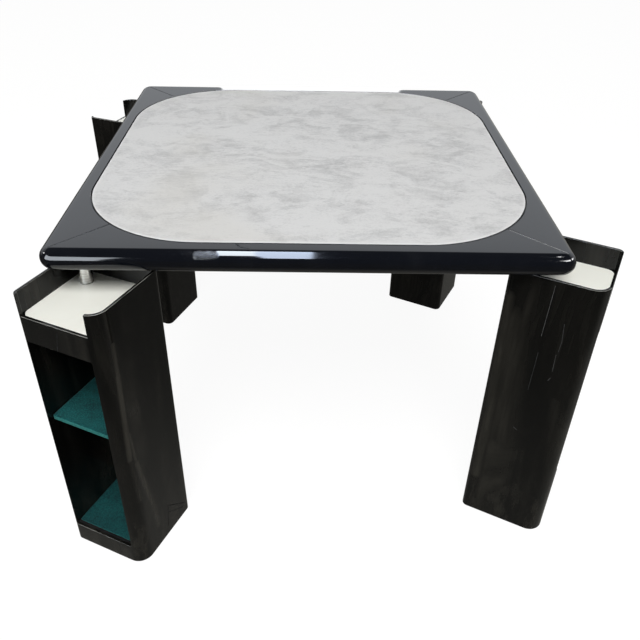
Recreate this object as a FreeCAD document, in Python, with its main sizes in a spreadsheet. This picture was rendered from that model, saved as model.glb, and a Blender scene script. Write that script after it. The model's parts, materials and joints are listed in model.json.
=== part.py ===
"""Square game table on four hollow legs that swivel on corner pins.

The origin is on the floor under the middle of the top, +Z is up and the front edge faces -Y.
Each leg is drawn in a frame of its own, with its pivot corner at the origin, and is then turned
about its pin. Lengths are in millimetres and angles in degrees.
"""
import FreeCAD, Part
import math
import os
import types

import Sketcher

DIMENSIONS = {
    # Top
    "top_side": 1000.0,
    "top_height": 734.0,
    "top_thickness": 45.0,
    "edge_flat": 1.0,
    "corner_core": 7.0,
    "rail_width": 150.0,
    "recess_width": 927.0,
    "recess_length": 914.0,
    "recess_radius": 248.0,
    "recess_depth": 8.0,
    "field_gap": 1.5,
    "field_board_thickness": 6.5,
    "suede_thickness": 2.3,
    "spline_length": 90.0,
    "spline_width": 24.0,
    "spline_thickness": 5.0,
    "spline_inset": 100.0,
    # Pivots
    "pin_inset": 64.0,
    "flange_radius": 30.0,
    "flange_thickness": 4.0,
    "shoulder_radius": 13.5,
    "spindle_radius": 8.0,
    "spindle_tail": 3.0,
    "running_clearance": 0.05,
    "axial_clearance": 0.3,
    "bush_wall": 4.0,
    "bush_flange_radius": 20.0,
    "bush_flange_thickness": 3.0,
    "nut_flange_radius": 15.0,
    "nut_flange_thickness": 2.0,
    "nut_radius": 13.5,
    "nut_height": 10.0,
    "screw_circle_radius": 23.0,
    "screw_radius": 2.0,
    "screw_length": 20.0,
    "screw_head_radius": 4.0,
    "screw_head_height": 2.2,
    "screw_clearance": 0.1,
    # Leg shell
    "leg_side": 187.0,
    "leg_wall": 6.0,
    "pin_offset": 38.0,
    "rim_gap": 6.0,
    "rim_drop": 48.0,
    "floor_lift": 2.0,
    "tip_radius": 12.0,
    "wrap_radius": 33.0,
    "small_radius": 13.0,
    "large_radius": 16.0,
    "inner_tip_radius": 5.0,
    "wrap_return": 26.0,
    "tip_return": 10.0,
    "rim_round": 1.5,
    "window_margin": 28.0,
    "window_bottom": 52.0,
    "window_head": 57.0,
    "window_radius": 4.0,
    "window_round": 1.0,
    # Boards inside a leg
    "board_clearance": 0.2,
    "tray_depth": 0.5,
    "tray_tip_radius": 16.0,
    "tray_thickness": 12.0,
    "shoulder_clearance": 1.0,
    "bearing_thickness": 24.0,
    "shelf_height": 379.0,
    "shelf_thickness": 9.0,
    "felt_thickness": 2.0,
    "felt_setback": 8.0,
    "cleat_size": 10.0,
    "cleat_length": 110.0,
    "floor_felt_depth": 1.0,
    "base_bottom": 8.0,
    "glide_radius": 11.0,
    "glide_inset": 30.0,
    # Swing of each leg away from its place under the corner
    "swing_front_left": 114.5,
    "swing_front_right": 118.0,
    "swing_back_right": 118.0,
    "swing_back_left": 112.0,
}

doc = FreeCAD.newDocument("game_table")
sheet = doc.addObject("Spreadsheet::Sheet", "dims")
for row, (alias, number) in enumerate(DIMENSIONS.items(), start=1):
    sheet.set(f"A{row}", alias)
    sheet.set(f"B{row}", str(number))
    sheet.setAlias(f"B{row}", alias)
doc.recompute()


class Size:
    """A length with the sheet expression that it comes from."""

    def __init__(self, value, text):
        self.value = value
        self.text = text

    def joined(self, other, sign, value):
        return Size(value, f"({self.text} {sign} {as_size(other).text})")

    def __add__(self, other):
        return self.joined(other, "+", self.value + as_size(other).value)

    def __sub__(self, other):
        return self.joined(other, "-", self.value - as_size(other).value)

    def __mul__(self, factor):
        return self.joined(factor, "*", self.value * as_size(factor).value)

    def __truediv__(self, factor):
        return self.joined(factor, "/", self.value / as_size(factor).value)

    def __neg__(self):
        return Size(-self.value, f"(0 - {self.text})")


def as_size(number):
    """Gives a plain number the same form as a sheet dimension."""
    if isinstance(number, Size):
        return number
    return Size(float(number), str(number))


def read_dimension(alias):
    """Reads one cell of the sheet."""
    return Size(float(sheet.get(alias)), f"dims.{alias}")


d = types.SimpleNamespace(**{alias: read_dimension(alias) for alias in DIMENSIONS})
NONE = as_size(0)
TURN = 360.0
Z_AXIS = FreeCAD.Vector(0, 0, 1)

# Heights that several pieces share.
underside = d.top_height - d.top_thickness
recess_floor = d.top_height - d.recess_depth
tall_rim = underside - d.rim_gap
low_rim = tall_rim - d.rim_drop
window_top = low_rim - d.window_head
tray_top = low_rim - d.tray_depth
bearing_top = tray_top - d.tray_thickness
bearing_bottom = bearing_top - d.bearing_thickness
floor_felt_bottom = d.window_bottom - d.floor_felt_depth - d.felt_thickness
pin_reach = d.top_side / 2 - d.pin_inset
cavity_side = d.leg_side - d.leg_wall * 2
cavity_end = d.leg_side - d.leg_wall
bush_radius = d.spindle_radius + d.running_clearance + d.bush_wall

parts = []


def add_part(feature, label):
    """Keeps a finished sub-part and gives it its own label."""
    feature.Label = label
    parts.append(feature)
    return feature


# ---------------------------------------------------------------- sketches and solid features

def bind(feature, sizes):
    """Binds properties of a feature to expressions of the sheet."""
    for name, length in sizes.items():
        feature.setExpression(name, as_size(length).text)


def new_body(name):
    return doc.addObject("PartDesign::Body", name)


def new_sketch(body, name, place, role="XY_Plane"):
    """Makes a sketch on an origin plane of the body, moved to place in the plane's own axes."""
    sketch = body.newObject("Sketcher::SketchObject", name)
    plane = next(p for p in body.Origin.OriginFeatures if p.Role == role)
    sketch.AttachmentSupport = (plane, [""])
    sketch.MapMode = "FlatFace"
    for axis, length in zip("xyz", place):
        bind(sketch, {f"AttachmentOffset.Base.{axis}": length})
    return sketch


def outline(body, name, place, width, depth, radii=(None,) * 4, role="XY_Plane"):
    """Draws a rectangle from the sketch's origin, with a radius of its own at each corner."""
    sketch = new_sketch(body, name, place, role)
    wide, deep = width.value, depth.value
    steps = [(1, 0), (0, 1), (-1, 0), (0, -1)]
    corners = [(0, 0), (wide, 0), (wide, deep), (0, deep)]
    cuts = [0.0 if radius is None else radius.value for radius in radii]
    lines = []
    for k, (step_x, step_y) in enumerate(steps):
        after = (k + 1) % 4
        start = (corners[k][0] + cuts[k] * step_x, corners[k][1] + cuts[k] * step_y)
        end = (corners[after][0] - cuts[after] * step_x, corners[after][1] - cuts[after] * step_y)
        segment = Part.LineSegment(FreeCAD.Vector(*start, 0), FreeCAD.Vector(*end, 0))
        lines.append(sketch.addGeometry(segment, False))
        direction = "Horizontal" if step_y == 0 else "Vertical"
        sketch.addConstraint(Sketcher.Constraint(direction, lines[k]))
    for k, radius in enumerate(radii):
        before = lines[k - 1]
        if radius is None:
            sketch.addConstraint(Sketcher.Constraint("Coincident", before, 2, lines[k], 1))
            continue
        step_x, step_y = steps[k]
        centre = FreeCAD.Vector(
            corners[k][0] + cuts[k] * (step_x - step_y), corners[k][1] + cuts[k] * (step_y + step_x), 0
        )
        circle = Part.Circle(centre, Z_AXIS, cuts[k])
        first_angle = math.pi * (1 + k / 2)
        arc = sketch.addGeometry(Part.ArcOfCircle(circle, first_angle, first_angle + math.pi / 2), False)
        sketch.addConstraint(Sketcher.Constraint("Tangent", before, 2, arc, 1))
        sketch.addConstraint(Sketcher.Constraint("Tangent", arc, 2, lines[k], 1))
        index = sketch.addConstraint(Sketcher.Constraint("Radius", arc, cuts[k]))
        bind(sketch, {f"Constraints[{index}]": radius})
    sketch.addConstraint(Sketcher.Constraint("PointOnObject", lines[0], 1, -1))
    sketch.addConstraint(Sketcher.Constraint("PointOnObject", lines[3], 1, -2))
    index = sketch.addConstraint(Sketcher.Constraint("DistanceX", -1, 1, lines[1], 1, wide))
    bind(sketch, {f"Constraints[{index}]": width})
    index = sketch.addConstraint(Sketcher.Constraint("DistanceY", -1, 1, lines[2], 1, deep))
    bind(sketch, {f"Constraints[{index}]": depth})
    return sketch


def disc(body, name, place, radius):
    """Draws a circle about the sketch's origin."""
    sketch = new_sketch(body, name, place)
    circle = sketch.addGeometry(Part.Circle(FreeCAD.Vector(0, 0, 0), Z_AXIS, radius.value), False)
    sketch.addConstraint(Sketcher.Constraint("Coincident", circle, 3, -1, 1))
    index = sketch.addConstraint(Sketcher.Constraint("Radius", circle, radius.value))
    bind(sketch, {f"Constraints[{index}]": radius})
    return sketch


def pad(body, name, sketch, length):
    """Adds material from the sketch along its normal."""
    feature = body.newObject("PartDesign::Pad", name)
    feature.Profile = sketch
    bind(feature, {"Length": length})
    return feature


def pocket(body, name, sketch, length):
    """Cuts material from the sketch against its normal."""
    feature = body.newObject("PartDesign::Pocket", name)
    feature.Profile = sketch
    bind(feature, {"Length": length})
    return feature


def round_edges(body, name, radius, wanted):
    """Fillets the edges of the body's tip that the test picks."""
    doc.recompute()
    tip = body.Tip
    names = [f"Edge{k}" for k, edge in enumerate(tip.Shape.Edges, start=1) if wanted(edge)]
    feature = body.newObject("PartDesign::Fillet", name)
    feature.Base = (tip, names)
    bind(feature, {"Radius": radius})
    return feature


def is_level_at(edge, height):
    """Tells whether an edge lies flat at one height."""
    box = edge.BoundBox
    return abs(box.ZMin - height.value) < 1e-6 and abs(box.ZMax - height.value) < 1e-6


def is_window_edge(edge):
    """Tells whether an edge lies on a leg's open face, round its window."""
    box = edge.BoundBox
    on_face = box.XMin > d.leg_side.value - 1e-6
    return on_face and box.ZMin > d.window_bottom.value - 1e-6 and box.ZMax < window_top.value + 1e-6


def named(label, suffix):
    """Joins a sub-part's label and a feature's own word."""
    return f"{label}_{suffix}"


def board(label, place, width, depth, thickness, radii=(None,) * 4):
    """Makes a flat board with its own corner radii."""
    body = new_body(label)
    pad(body, named(label, "pad"), outline(body, named(label, "outline"), place, width, depth, radii),
        thickness)
    return body


# ---------------------------------------------------------------- table top

CORNERS = {
    "front_left": {"sign": (-1, -1), "turn": 0.0, "swing": d.swing_front_left, "wrapped": "left"},
    "front_right": {"sign": (1, -1), "turn": 90.0, "swing": d.swing_front_right, "wrapped": "right"},
    "back_right": {"sign": (1, 1), "turn": 180.0, "swing": d.swing_back_right, "wrapped": "left"},
    "back_left": {"sign": (-1, 1), "turn": 270.0, "swing": d.swing_back_left, "wrapped": "right"},
}
RAIL_TURNS = {"back": 45.0, "left": 135.0, "front": 225.0, "right": 315.0}


def pin_place(corner, z=NONE):
    """Gives the point of a corner's pin axis at a height."""
    sign_x, sign_y = CORNERS[corner]["sign"]
    return FreeCAD.Vector(sign_x * pin_reach.value, sign_y * pin_reach.value, z.value)


def cut(name, base, tool):
    """Cuts one document object from another."""
    feature = doc.addObject("Part::Cut", name)
    feature.Base = base
    feature.Tool = tool
    return feature


def centred_block(name, side, z, height):
    """Makes a square block about the middle of the table."""
    block = doc.addObject("Part::Box", name)
    bind(block, {"Length": side, "Width": side, "Height": height})
    bind(block, {"Placement.Base.x": -side / 2, "Placement.Base.y": -side / 2, "Placement.Base.z": z})
    return block


def centred_board(label, width, length, radius, z, thickness):
    """Makes a board with equal round corners about the middle of the table."""
    return board(label, (-width / 2, -length / 2, z), width, length, thickness, (radius,) * 4)


def make_top_blank():
    """Makes the full top with its rounded edge, before it is divided."""
    edge_round = (d.top_thickness - d.edge_flat) / 2
    blank_radius = edge_round + d.corner_core
    blank = centred_board("top_blank", d.top_side, d.top_side, blank_radius, underside, d.top_thickness)
    round_edges(
        blank, "blank_edge", edge_round,
        lambda edge: is_level_at(edge, underside) or is_level_at(edge, d.top_height),
    )
    return blank


def spline_placements():
    """Gives the place of each loose spline, square to its mitre."""
    middle = d.top_side.value / 2 - d.spline_inset.value
    height = underside.value + (d.top_thickness.value - d.recess_depth.value - d.spline_thickness.value) / 2
    to_middle = FreeCAD.Vector(-d.spline_length.value / 2, -d.spline_width.value / 2, 0)
    placements = []
    for corner, facts in CORNERS.items():
        sign_x, sign_y = facts["sign"]
        spot = FreeCAD.Vector(sign_x * middle, sign_y * middle, height)
        along = math.degrees(math.atan2(sign_y, sign_x))
        turn = FreeCAD.Rotation(Z_AXIS, along)
        placements.append(FreeCAD.Placement(spot + turn.multVec(to_middle), turn))
    return placements


def screw_spots():
    """Gives the axis point of every flange screw at the underside."""
    spots = []
    for corner in CORNERS:
        centre = pin_place(corner, underside)
        for quarter in range(4):
            angle = math.radians(quarter * 90)
            reach = d.screw_circle_radius.value
            spots.append(centre + FreeCAD.Vector(reach * math.cos(angle), reach * math.sin(angle), 0))
    return spots


def make_copies(name, shape_at, spots):
    """Groups equal separate solids in one object."""
    group = doc.addObject("Part::Feature", name)
    group.Shape = Part.makeCompound([shape_at(spot) for spot in spots])
    return group


def spline_shape(placement):
    block = Part.makeBox(d.spline_length.value, d.spline_width.value, d.spline_thickness.value)
    block.Placement = placement
    return block


def screw_hole_shape(spot):
    radius = d.screw_radius.value + d.screw_clearance.value
    depth = d.screw_length.value - d.flange_thickness.value + d.screw_clearance.value
    return Part.makeCylinder(radius, depth, spot)


def screw_shape(spot):
    """Makes one pan head screw, from its head below the flange up into the rail."""
    face = spot - Z_AXIS * d.flange_thickness.value
    shank = Part.makeCylinder(d.screw_radius.value, d.screw_length.value, face)
    head = Part.makeCylinder(
        d.screw_head_radius.value, d.screw_head_height.value, face, Z_AXIS * -1
    )
    return shank.fuse(head).removeSplitter()


def make_top():
    """Makes the core, the mitred rails, the playing field and the splines."""
    core_side = d.top_side - d.rail_width * 2
    blank = make_top_blank()
    core_space = centred_block("core_space", core_side, underside, d.top_thickness)
    recess = centred_board(
        "recess_space", d.recess_width, d.recess_length, d.recess_radius, recess_floor, d.recess_depth,
    )
    ring = cut("frame_ring", blank, core_space)
    ring = cut("recessed_ring", ring, recess)
    splines = make_copies("mitre_splines", spline_shape, spline_placements())
    ring = cut("slotted_ring", ring, splines)
    ring = cut("drilled_ring", ring, make_copies("screw_holes", screw_hole_shape, screw_spots()))
    for side, turn in RAIL_TURNS.items():
        sector = doc.addObject("Part::Box", f"sector_{side}")
        bind(sector, {"Length": d.top_side, "Width": d.top_side, "Height": d.top_height})
        sector.Placement.Rotation = FreeCAD.Rotation(Z_AXIS, turn)
        rail = doc.addObject("Part::Common", f"rail_{side}")
        rail.Base = ring
        rail.Tool = sector
        add_part(rail, f"frame_rail_{side}")
    add_part(centred_block("core", core_side, underside, recess_floor - underside), "top_core")
    gaps = d.field_gap * 2
    field = (d.recess_width - gaps, d.recess_length - gaps, d.recess_radius - d.field_gap)
    add_part(
        centred_board("field_board", *field, recess_floor, d.field_board_thickness), "playing_field_board",
    )
    suede_bottom = recess_floor + d.field_board_thickness
    add_part(centred_board("suede", *field, suede_bottom, d.suede_thickness), "playing_field_suede")
    add_part(splines, "mitre_splines")
    add_part(make_copies("screws", screw_shape, screw_spots()), "flange_screws")


# ---------------------------------------------------------------- pivots

def make_pivot_pin(corner):
    """Turns the pin: a screwed flange, the visible shoulder and the spindle in the bush."""
    label = f"pivot_pin_{corner}"
    body = new_body(label)
    flange_bottom = underside - d.flange_thickness
    shoulder_bottom = bearing_top + d.axial_clearance
    nut_bottom = bearing_bottom - d.axial_clearance - d.nut_flange_thickness - d.nut_height
    spindle_bottom = nut_bottom - d.spindle_tail
    steps = {
        "flange": (d.flange_radius, flange_bottom, underside),
        "shoulder": (d.shoulder_radius, shoulder_bottom, flange_bottom),
        "spindle": (d.spindle_radius, spindle_bottom, shoulder_bottom),
    }
    for word, (radius, low, high) in steps.items():
        circle = disc(body, named(label, f"{word}_circle"), (NONE, NONE, low), radius)
        pad(body, named(label, word), circle, high - low)
    hole_circle = disc(
        body, named(label, "hole_circle"), (d.screw_circle_radius, NONE, underside),
        d.screw_radius + d.screw_clearance,
    )
    hole = pocket(body, named(label, "hole"), hole_circle, d.flange_thickness)
    ring = body.newObject("PartDesign::PolarPattern", named(label, "holes"))
    ring.Originals = [hole]
    ring.Axis = (next(a for a in body.Origin.OriginFeatures if a.Role == "Z_Axis"), [""])
    ring.Angle = TURN
    ring.Occurrences = 4
    body.Tip = ring
    body.Placement = FreeCAD.Placement(pin_place(corner), FreeCAD.Rotation())
    return add_part(body, label)


def nut_shape(spot):
    """Makes one flange nut that hangs below the bearing board."""
    top = spot - Z_AXIS * d.axial_clearance.value
    flange = Part.makeCylinder(d.nut_flange_radius.value, d.nut_flange_thickness.value, top, Z_AXIS * -1)
    hex_top = top - Z_AXIS * d.nut_flange_thickness.value
    angles = [math.radians(60 * k) for k in range(7)]
    radius = d.nut_radius.value
    ring = [hex_top + FreeCAD.Vector(radius * math.cos(a), radius * math.sin(a), 0) for a in angles]
    hexagon = Part.Face(Part.makePolygon(ring)).extrude(Z_AXIS * -d.nut_height.value)
    bore_radius = d.spindle_radius.value + d.running_clearance.value
    bore = Part.makeCylinder(bore_radius, spot.z, FreeCAD.Vector(spot.x, spot.y, 0))
    return flange.fuse(hexagon).cut(bore)


def make_pivots():
    """Makes the four pins and the nuts that keep the legs on them."""
    for corner in CORNERS:
        make_pivot_pin(corner)
    spots = [pin_place(corner, bearing_bottom) for corner in CORNERS]
    add_part(make_copies("nuts", nut_shape, spots), "retaining_nuts")


# ---------------------------------------------------------------- legs

def leg_placement(corner):
    """Turns a leg about its pin, from its place under the corner to where it is swung."""
    facts = CORNERS[corner]
    turn = FreeCAD.Rotation(Z_AXIS, facts["turn"] - facts["swing"].value)
    pin_in_leg = FreeCAD.Vector(d.pin_offset.value, d.pin_offset.value, 0)
    return FreeCAD.Placement(pin_place(corner) - turn.multVec(pin_in_leg), turn)


def corner_radii(hand, shrink=NONE, inner_tip=d.inner_tip_radius):
    """Gives the four corner radii of a leg, from the pivot corner round, less a wall."""
    small = d.small_radius - shrink
    large = d.large_radius - shrink
    wrap = d.wrap_radius - shrink
    tip = d.tip_radius
    if shrink is not NONE:
        tip = inner_tip - (shrink - d.leg_wall)
    if hand == "left":
        return [large, tip, wrap, small]
    return [small, wrap, tip, large]


def across(hand, tip_distance, span):
    """Gives the place along the open face of a stretch measured from the leg's tip."""
    if hand == "left":
        return tip_distance
    return d.leg_side - tip_distance - span


def make_shell(corner, hand):
    """Makes the lacquered shell: a tall rim on three sides, a low open face and a window in it."""
    label = f"leg_{corner}_shell"
    body = new_body(label)
    height = tall_rim - d.floor_lift
    outer = outline(
        body, named(label, "outer"), (NONE, NONE, d.floor_lift), d.leg_side, d.leg_side,
        corner_radii(hand),
    )
    pad(body, named(label, "column"), outer, height)
    inner = outline(
        body, named(label, "inner"), (d.leg_wall, d.leg_wall, tall_rim), cavity_side, cavity_side,
        corner_radii(hand, d.leg_wall),
    )
    pocket(body, named(label, "cavity"), inner, height)
    round_edges(body, named(label, "tall_rim"), d.rim_round, lambda edge: is_level_at(edge, tall_rim))
    low_span = d.leg_side - d.tip_return - d.wrap_return
    low = outline(
        body, named(label, "low"),
        (d.leg_side - d.wrap_radius, across(hand, d.tip_return, low_span), tall_rim),
        d.wrap_radius + d.leg_wall, low_span,
    )
    pocket(body, named(label, "low_face"), low, d.rim_drop)
    round_edges(
        body, named(label, "low_rim"), d.rim_round,
        lambda edge: is_level_at(edge, low_rim) and edge.BoundBox.XMin > cavity_end.value + 1e-6,
    )
    window_span = d.leg_side - d.leg_wall - d.window_margin
    rounded, square = (d.window_radius,) * 2, (None,) * 2
    left_first = (square[0], rounded[0], rounded[1], square[1])
    right_first = (rounded[0], square[0], square[1], rounded[1])
    window = outline(
        body, named(label, "window_outline"),
        (across(hand, d.leg_wall, window_span), d.window_bottom, d.leg_side),
        window_span, window_top - d.window_bottom,
        left_first if hand == "left" else right_first, "YZ_Plane",
    )
    pocket(body, named(label, "window"), window, d.leg_wall + d.inner_tip_radius)
    round_edges(body, named(label, "window_edge"), d.window_round, is_window_edge)
    return body


def inner_board(label, hand, z, thickness, inner_tip=d.inner_tip_radius, setback=NONE):
    """Makes a board that fills the leg's cavity, or stops short of its open face."""
    margin = d.leg_wall + d.board_clearance
    side = cavity_side - d.board_clearance * 2
    radii = corner_radii(hand, margin, inner_tip)
    return board(label, (margin, margin, z), side - setback, side, thickness, radii)


def bore_at_pin(body, word, top, radius, depth):
    """Cuts a round hole down from a height, on the pin's axis."""
    label = named(body.Name, word)
    circle = disc(body, named(label, "circle"), (d.pin_offset, d.pin_offset, top), radius)
    return pocket(body, label, circle, depth)


def make_bush(label):
    """Turns the flanged bearing bush, with its flange let into the bearing board."""
    body = new_body(label)
    flange_bottom = bearing_top - d.bush_flange_thickness
    steps = {
        "barrel": (bush_radius, bearing_bottom, flange_bottom),
        "flange": (d.bush_flange_radius, flange_bottom, bearing_top),
    }
    for word, (radius, low, high) in steps.items():
        place = (d.pin_offset, d.pin_offset, low)
        pad(body, named(label, word), disc(body, named(label, f"{word}_circle"), place, radius), high - low)
    bore_at_pin(body, "bore", bearing_top, d.spindle_radius + d.running_clearance, d.bearing_thickness)
    return body


def make_cleats(label):
    """Makes the two battens on the side walls that carry the shelf."""
    top = d.shelf_height.value - d.felt_thickness.value - d.shelf_thickness.value
    low = top - d.cleat_size.value
    start = (d.leg_side.value - d.cleat_length.value) / 2
    near = d.leg_wall.value
    far = d.leg_side.value - d.leg_wall.value - d.cleat_size.value
    spots = [FreeCAD.Vector(start, near, low), FreeCAD.Vector(start, far, low)]
    return make_copies(
        label,
        lambda spot: Part.makeBox(d.cleat_length.value, d.cleat_size.value, d.cleat_size.value, spot),
        spots,
    )


def make_glides(label):
    """Makes the four round glides under the base board."""
    near = d.glide_inset.value
    far = d.leg_side.value - d.glide_inset.value
    spots = [FreeCAD.Vector(x, y, 0) for x in (near, far) for y in (near, far)]
    return make_copies(
        label, lambda spot: Part.makeCylinder(d.glide_radius.value, d.base_bottom.value, spot), spots
    )


def make_leg(corner):
    """Makes every piece of one leg and turns them about its pin."""
    hand = CORNERS[corner]["wrapped"]
    name = f"leg_{corner}"
    tray = inner_board(f"{name}_tray", hand, bearing_top, d.tray_thickness, d.tray_tip_radius)
    bore_at_pin(tray, "hole", tray_top, d.shoulder_radius + d.shoulder_clearance, d.tray_thickness)
    bearing = inner_board(f"{name}_bearing_board", hand, bearing_bottom, d.bearing_thickness)
    bore_at_pin(bearing, "seat", bearing_top, d.bush_flange_radius, d.bush_flange_thickness)
    bore_at_pin(bearing, "hole", bearing_top, bush_radius, d.bearing_thickness)
    shelf_top = d.shelf_height - d.felt_thickness
    set_back = {"setback": d.felt_setback}
    shelf = inner_board(f"{name}_shelf", hand, shelf_top - d.shelf_thickness, d.shelf_thickness, **set_back)
    shelf_felt = inner_board(f"{name}_shelf_felt", hand, shelf_top, d.felt_thickness, **set_back)
    base = inner_board(f"{name}_base_board", hand, d.base_bottom, floor_felt_bottom - d.base_bottom)
    floor_felt = inner_board(f"{name}_floor_felt", hand, floor_felt_bottom, d.felt_thickness, **set_back)
    pieces = {
        "shell": make_shell(corner, hand),
        "tray": tray,
        "bearing_board": bearing,
        "bush": make_bush(f"{name}_bush"),
        "shelf": shelf,
        "shelf_felt": shelf_felt,
        "shelf_cleats": make_cleats(f"{name}_shelf_cleats"),
        "base_board": base,
        "floor_felt": floor_felt,
        "glides": make_glides(f"{name}_glides"),
    }
    for word, piece in pieces.items():
        piece.Placement = leg_placement(corner)
        add_part(piece, f"{name}_{word}")


# ---------------------------------------------------------------- build, check and write

def check_document():
    """Stops if any object failed or any sub-part is empty or not valid."""
    for item in doc.Objects:
        if {"Invalid", "Error"} & set(item.State):
            raise RuntimeError(f"{item.Label} failed: {item.State}")
    for part in parts:
        if part.Shape.isNull() or not part.Shape.isValid():
            raise RuntimeError(f"{part.Label} has no valid shape")


def write_parts():
    """Writes each sub-part to a file of its own."""
    os.makedirs("parts", exist_ok=True)
    for part in parts:
        part.Shape.exportStep(f"parts/{part.Label}.step")
        print(f"{part.Label}: {len(part.Shape.Solids)} solid, {part.Shape.Volume / 1000:.1f} cm3")


make_top()
make_pivots()
for corner in CORNERS:
    make_leg(corner)
doc.recompute()
check_document()
write_parts()
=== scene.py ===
# %% [markdown]
# # A square game table on four swivelling legs
#
# The table is black gloss lacquer with a suede playing field. Each hollow leg turns on a steel pin
# under a corner and carries a cream tray and two felt-lined cubbies. Solids, places and joints come
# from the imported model. This lesson gives every visible surface its shape detail and its finish.

# %% Load the fixed frame
import json
import math

import bmesh
import bpy
from mathutils import Matrix, Quaternion, Vector


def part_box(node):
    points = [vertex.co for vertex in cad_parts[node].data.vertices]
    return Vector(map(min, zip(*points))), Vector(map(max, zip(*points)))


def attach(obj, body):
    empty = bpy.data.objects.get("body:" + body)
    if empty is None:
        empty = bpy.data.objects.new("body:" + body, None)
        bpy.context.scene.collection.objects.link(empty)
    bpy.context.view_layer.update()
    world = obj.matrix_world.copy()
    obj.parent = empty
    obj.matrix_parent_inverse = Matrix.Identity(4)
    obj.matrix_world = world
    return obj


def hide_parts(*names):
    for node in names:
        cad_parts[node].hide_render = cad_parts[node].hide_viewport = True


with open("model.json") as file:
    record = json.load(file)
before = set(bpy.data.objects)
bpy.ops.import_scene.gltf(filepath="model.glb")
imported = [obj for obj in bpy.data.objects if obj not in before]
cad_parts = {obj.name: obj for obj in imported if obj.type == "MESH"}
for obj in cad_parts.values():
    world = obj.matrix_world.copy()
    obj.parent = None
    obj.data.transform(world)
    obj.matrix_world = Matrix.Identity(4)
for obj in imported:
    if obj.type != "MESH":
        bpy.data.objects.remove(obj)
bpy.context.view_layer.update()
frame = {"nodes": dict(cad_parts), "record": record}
NODES = frame["nodes"]
BODIES = frame["record"]["behaviour"]["bodies"]
BODY_OF = {node: body for body, nodes in BODIES.items() for node in nodes}

# %% [markdown]
# ## Camera
#
# A camera can be placed with a few facts: where it stands, three turns and the length of its lens.
# The turns are kept as yaw, pitch and roll, because each has a plain meaning: the view is almost
# straight ahead, 35 degrees down, and about a degree off level.

# %% Set up the camera
CAMERA_PLACE = Vector((-0.00309, -1.58810, 1.37405))
CAMERA_YAW = 0.0154664
CAMERA_PITCH = 0.6044471
CAMERA_ROLL = 0.019623
FOCAL_PIXELS = 693.51
IMAGE_MIDDLE = (315.755, 306.661)
IMAGE_SIDE = 640
SENSOR_MM = 36


def camera_axes():
    """Gives the camera's right, up and forward directions."""
    forward = Vector((
        math.sin(CAMERA_YAW) * math.cos(CAMERA_PITCH),
        math.cos(CAMERA_YAW) * math.cos(CAMERA_PITCH),
        -math.sin(CAMERA_PITCH),
    ))
    level = Vector((math.cos(CAMERA_YAW), -math.sin(CAMERA_YAW), 0))
    upright = level.cross(forward)
    cosine, sine = math.cos(CAMERA_ROLL), math.sin(CAMERA_ROLL)
    return level * cosine + upright * sine, upright * cosine - level * sine, forward


camera = bpy.data.objects.new("camera", bpy.data.cameras.new("camera"))
right, up, forward = camera_axes()
camera_turn = Matrix((right, up, -forward)).transposed().to_4x4()
camera.matrix_world = Matrix.Translation(CAMERA_PLACE) @ camera_turn
camera.data.sensor_width = SENSOR_MM
camera.data.lens = FOCAL_PIXELS * SENSOR_MM / IMAGE_SIDE
camera.data.shift_x = (IMAGE_SIDE / 2 - IMAGE_MIDDLE[0]) / IMAGE_SIDE
camera.data.shift_y = (IMAGE_MIDDLE[1] - IMAGE_SIDE / 2) / IMAGE_SIDE
bpy.context.scene.collection.objects.link(camera)
bpy.context.scene.camera = camera
print("lens:", round(camera.data.lens, 2), "mm")

# %% [markdown]
# ## Node tools
#
# A material is a small machine of connected nodes. A short helper that adds a node, sets its values
# and links its inputs keeps every recipe below to a few readable lines.

# %% Helpers for nodes


def add_node(tree, kind, settings=None, **inputs):
    """Adds a node; an input may be a plain value or another node's output."""
    node = tree.nodes.new(kind)
    for name, value in (settings or {}).items():
        setattr(node, name, value)
    for name, value in inputs.items():
        key = int(name[1:]) if name[0] == "_" and name[1:].isdigit() else name.replace("_", " ")
        socket = node.inputs[key]
        if isinstance(value, bpy.types.NodeSocket):
            tree.links.new(value, socket)
        else:
            socket.default_value = value
    return node


def calculate(tree, operation, first, second=0.0, clamp=False):
    """Adds one sum and gives its result."""
    settings = {"operation": operation, "use_clamp": clamp}
    return add_node(tree, "ShaderNodeMath", settings, _0=first, _1=second).outputs[0]


def times(tree, first, second):
    """Multiplies a mask by another, or by a share."""
    return calculate(tree, "MULTIPLY", first, second)


def plus(tree, first, second, clamp=False):
    """Adds two values."""
    return calculate(tree, "ADD", first, second, clamp)


def larger(tree, first, second):
    """Keeps the larger of two values."""
    return calculate(tree, "MAXIMUM", first, second)


def height_of(tree, vector):
    """Gives the upright part of a place or a direction."""
    return add_node(tree, "ShaderNodeSeparateXYZ", Vector=vector).outputs["Z"]


def ramp_between(tree, value, low, high, out_low=0.0, out_high=1.0):
    """Maps a stretch of values smoothly to another."""
    return add_node(
        tree, "ShaderNodeMapRange", {"interpolation_type": "SMOOTHSTEP"},
        Value=value, From_Min=low, From_Max=high, To_Min=out_low, To_Max=out_high,
    ).outputs["Result"]


def mix_colours(tree, factor, first, second):
    """Blends two colours by a mask."""
    node = add_node(tree, "ShaderNodeMix", {"data_type": "RGBA"})
    for socket, value in ((node.inputs[0], factor), (node.inputs[6], first), (node.inputs[7], second)):
        if isinstance(value, bpy.types.NodeSocket):
            tree.links.new(value, socket)
        elif isinstance(value, tuple):
            socket.default_value = (*value, 1.0)
        else:
            socket.default_value = value
    return node.outputs[2]


def noise(tree, coordinates, scale, detail=2.0, roughness=0.5, distortion=0.0):
    """Adds a noise pattern and gives its value."""
    return add_node(
        tree, "ShaderNodeTexNoise", Vector=coordinates, Scale=scale, Detail=detail,
        Roughness=roughness, Distortion=distortion,
    ).outputs["Fac"]


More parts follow.
